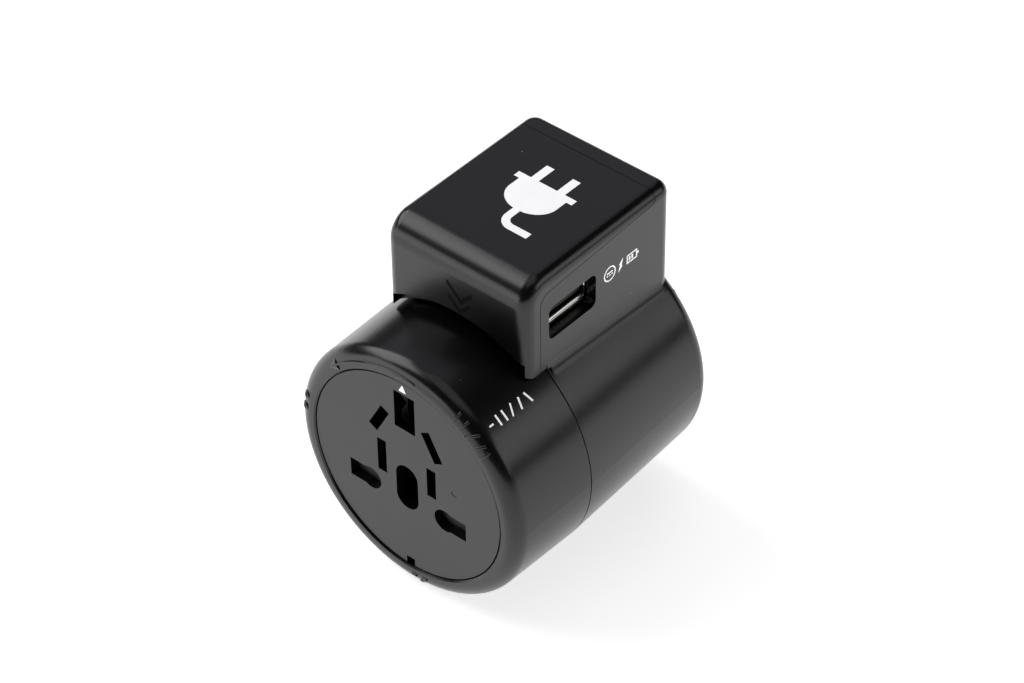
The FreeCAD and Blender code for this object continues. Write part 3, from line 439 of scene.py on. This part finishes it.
def direct_current_icon():
    """A ring round the sign for direct current: one long bar over three short ones."""
    ring = (arc((39.8, 34.6), 1.6, 0, 360), even(0.3), 48)
    long_bar = bar((38.9, 34.9), (40.7, 34.9), 0.3)
    short_bars = [bar((38.9 + 0.7 * i, 34.3), (39.3 + 0.7 * i, 34.3), 0.3) for i in range(3)]
    return [ring, long_bar] + short_bars


def bolt_icon():
    """A flash of lightning in two tapered strokes."""
    return [
        (straight((43.7, 36.0), (42.9, 34.75)), tapered(0.1, 0.9)),
        (straight((43.2, 34.55), (42.4, 33.3)), tapered(0.9, 0.1)),
    ]


def battery_icon():
    """A lying battery with its terminal at the rear and two cells in it."""
    ends = [bar((u, 33.95), (u, 35.45), 0.3) for u in (45.0, 47.8)]
    sides = [bar((44.85, v), (47.95, v), 0.3) for v in (33.8, 35.6)]
    terminal = bar((48.2, 34.4), (48.2, 35.0), 0.4)
    cells = [bar((u, 34.2), (u, 35.2), 0.45) for u in (45.7, 46.5)]
    return ends + sides + [terminal] + cells


def flat_blades(offset):
    """Two upright bars: the US pin shape."""
    return [bar((offset + x, -1.0), (offset + x, 1.0), 0.5) for x in (-0.8, 0.8)]


def slanted_blades(offset):
    """Two bars that lean together: the Australian pin shape."""
    return [bar((offset + s * 1.1, -0.9), (offset + s * 0.45, 0.9), 0.5) for s in (-1, 1)]


def us_au_icon():
    """The US and the Australian pin shapes with a slash between them."""
    slash = bar((-0.5, -1.1), (0.5, 1.1), 0.5)
    return flat_blades(-2.7) + [slash] + slanted_blades(2.7)


def eu_icon():
    """Two rings: the European pin shape."""
    return [(arc((x, 0), 0.55, 0, 360), even(0.4), 28) for x in (-1.2, 1.2)]


def uk_icon():
    """One upright bar over two level bars: the UK pin shape."""
    return [
        bar((0, 0.15), (0, 1.35), 0.6),
        bar((-1.5, -0.8), (-0.6, -0.8), 0.55),
        bar((0.6, -0.8), (1.5, -0.8), 0.55),
    ]


# ---------------------------------------------------------------- the marks themselves

def printed_marks():
    """The white print, which also glows a little as painted light: on the roof, the collar, beside the USB
    port, and the plate's pointer.
    """
    plug_size = 1.12 * MM
    plug_shift = (0.5 * MM, -0.8 * MM)
    station_angle = 41

    def printed(name, strokes, place, body):
        mark(name, strokes, place, PRINTED, body, "white_print")
    printed("roof_plug_icon", scaled(plug_icon(), plug_size, plug_shift), on_roof, "base")
    printed("collar_station_mark", scaled(station_icon(), MM), around_collar(station_angle), "collar")
    port_icons = direct_current_icon() + bolt_icon() + battery_icon()
    printed("port_rating_icon", scaled(port_icons, MM), on_side, "base")
    pointer = [(straight((-0.3, 21.35), (-0.3, 23.05)), tapered(1.8, 0.02), 8)]
    printed("plate_pointer", scaled(pointer, MM), on_plate, "base")


def groove_shade_strips():
    """A dark flat strip of painted shade over each of the two V grooves in the front wall, standing in for
    the shadow inside them.
    """
    width = 0.8
    grooves = [(bent((-2.0, 38.2), (1.5, 34.8), (4.2, 37.6)), even(width), 24),
               (bent((-1.7, 35.0), (1.2, 32.25), (3.9, 34.8)), even(width), 24)]
    mark("wall_groove_shade", scaled(grooves, MM), on_wall, GROOVE_SHADE_STRIP, "base", "painted_groove_shade")


def raised(name, strokes, middle):
    """A mark that stands out from the collar's rim, about a middle angle."""
    mark(name, strokes, around_rim(middle), RAISED, "collar", "shell_plastic")


def rim_marks():
    """The three plug stations on the rim, at their angles in degrees clockwise from the top."""
    icon_size = 1.3 * MM
    onto_rounding = (0, 1.6 * MM)
    stations = {"us_au": (us_au_icon(), 40), "eu": (eu_icon(), 280), "uk": (uk_icon(), 174)}
    for label, (icon, middle) in stations.items():
        raised("rim_mark_" + label, scaled(icon, icon_size, onto_rounding), middle)


def rim_arrow():
    """The curved arrow on the rim that shows which way the collar turns."""
    tail_angle = 7
    sweep = 54
    head = 2.6
    onto_rounding = (0, 0.6 * MM)
    reach = math.radians(sweep) * RIM_MARK_RADIUS / MM
    arrow = [
        (straight((0, 0), (head - reach, 0)), even(0.6), 60),
        (straight((head - reach, 0), (-reach, 0)), tapered(2.4, 0.05), 12),
    ]
    raised("rim_arrow", scaled(arrow, MM, onto_rounding), tail_angle)


# ---------------------------------------------------------------- metal pieces

def rolled_lip(name, start, end, radius):
    """A rolled bead on the mouth of the metal sleeve: a round bar with domed ends."""
    along = (end - start).normalized()
    across = along.orthogonal().normalized()
    other = along.cross(across)
    sides = 24
    dome = [(1 - math.cos(math.radians(turn)), math.sin(math.radians(turn))) for turn in range(10, 91, 16)]
    spine = [(start + along * radius * inward, radius * wide) for inward, wide in dome]
    spine += [(end - along * radius * inward, radius * wide) for inward, wide in reversed(dome)]
    rings = [[centre + (across * math.cos(turn) + other * math.sin(turn)) * wide for turn in turns_of(sides)]
             for centre, wide in spine]
    piece = closed_piece(name, *skin(rings))
    piece.data.shade_smooth()
    dress(piece, "nickel", "base")


def port_lips():
    """The two beads at the USB sleeve's mouth, below the opening and at its rear."""
    mouth_x = SLEEVE_HIGH.x - 0.2 * MM
    middle_y = (SLEEVE_LOW.y + SLEEVE_HIGH.y) / 2

    def at_mouth(y, z):
        return Vector((mouth_x, middle_y + y * MM, SLEEVE_LOW.z + z * MM))
    rolled_lip("port_lip_below", at_mouth(-6.0, 1.35), at_mouth(5.9, 1.35), 0.42 * MM)
    rolled_lip("port_lip_rear", at_mouth(6.45, 3.1), at_mouth(6.45, 5.7), 0.3 * MM)


def shutter_coil():
    """The coil under the shutter, made anew as a round wire in place of the spring part, which is hidden."""
    wire = 0.16 * MM
    turns, steps, sides = 5, 160, 10
    middle = (SPRING_LOW + SPRING_HIGH) / 2
    radius = (SPRING_HIGH.x - SPRING_LOW.x) / 2 - wire
    length = SPRING_HIGH.z - SPRING_LOW.z
    upward = Vector((0, 0, 1))
    rings = []
    for step in range(steps + 1):
        turn = 2 * math.pi * turns * step / steps
        outward = Vector((math.cos(turn), math.sin(turn), 0))
        rise = wire + (length - 2 * wire) * step / steps
        centre = Vector((middle.x, middle.y, SPRING_LOW.z + rise)) + outward * radius
        rings.append([centre + (outward * math.cos(bend) + upward * math.sin(bend)) * wire
                      for bend in turns_of(sides)])
    piece = closed_piece("shutter_coil", *skin(rings))
    piece.data.shade_smooth()
    dress(piece, "steel", "base")
    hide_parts("shutter_spring")
    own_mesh(piece)


printed_marks()
groove_shade_strips()
rim_marks()
port_lips()
shutter_coil()
rim_arrow()


# ---------------------------------------------------------------- floor, light and camera

def floor():
    """A wide pale sheet of paper that glows a little, so that it stays white round the object."""
    reach = 4.0
    mesh = bpy.data.meshes.new("floor")
    corners = [(-reach, -reach, 0), (reach, -reach, 0), (reach, reach, 0), (-reach, reach, 0)]
    mesh.from_pydata(corners, [], [(0, 1, 2, 3)])
    sheet = bpy.data.objects.new("floor", mesh)
    bpy.context.scene.collection.objects.link(sheet)
    paper, tree, shader = material("floor_paper", Roughness=0.5, Emission_Strength=0.8)
    tone = ramp(tree, noise(tree, 3, 2), [(0.3, 0.9), (0.7, 0.93)])
    tree.links.new(tone, shader.inputs["Base Color"])
    tree.links.new(tone, shader.inputs["Emission Color"])
    mesh.materials.append(paper)


def soft_box(name, place, size, power, colour=(1, 1, 1)):
    """A rectangular area light at a place, facing the object's middle."""
    aim = Vector((0, 0, 0.03))
    lamp = bpy.data.lights.new(name, "AREA")
    lamp.color = colour
    lamp.shape = "RECTANGLE"
    lamp.size, lamp.size_y = size
    lamp.energy = power
    item = bpy.data.objects.new(name, lamp)
    item.location = place
    item.rotation_euler = (aim - Vector(place)).to_track_quat("-Z", "Y").to_euler()
    bpy.context.scene.collection.objects.link(item)


def studio():
    """Five soft boxes in a nearly dark room: the black plastic's greys reflect them and the floor."""
    soft_box("left_box", (-0.95, -0.3, 0.95), (1.2, 1.0), 12)
    soft_box("overhead_box", (0.1, -0.05, 1.2), (1.0, 1.0), 2)
    soft_box("front_box", (-0.62, -1.1, 0.2), (1.2, 0.42), 3.4)
    soft_box("right_box", (1.05, 0.55, 0.5), (1.0, 0.55), 2.6)
    soft_box("rear_box", (-0.72, 0.82, 1.08), (1.3, 1.3), 2.2, (0.97, 0.95, 1.1))
    world = bpy.data.worlds.new("studio")
    bpy.context.scene.world = world
    world.use_nodes = True
    background = world.node_tree.nodes["Background"]
    background.inputs["Color"].default_value = (1, 1, 1, 1)
    background.inputs["Strength"].default_value = 0.03


def camera():
    """A long lens that looks down on the object from its front right."""
    place = Vector((0.33422, -0.38050, 0.48638))
    turned, dipped, rolled = math.radians(41.17), math.radians(41.18), math.radians(-0.772)
    lens = bpy.data.cameras.new("camera")
    lens.lens = 122.2
    lens.sensor_width = 36
    lens.clip_start = 0.01
    item = bpy.data.objects.new("camera", lens)
    look = Matrix.Rotation(turned, 4, "Z") @ Matrix.Rotation(math.pi / 2 - dipped, 4, "X")
    item.matrix_world = Matrix.Translation(place) @ look @ Matrix.Rotation(rolled, 4, "Z")
    bpy.context.scene.collection.objects.link(item)
    bpy.context.scene.camera = item


floor()
studio()
camera()
bpy.context.scene.view_settings.view_transform = "Standard"
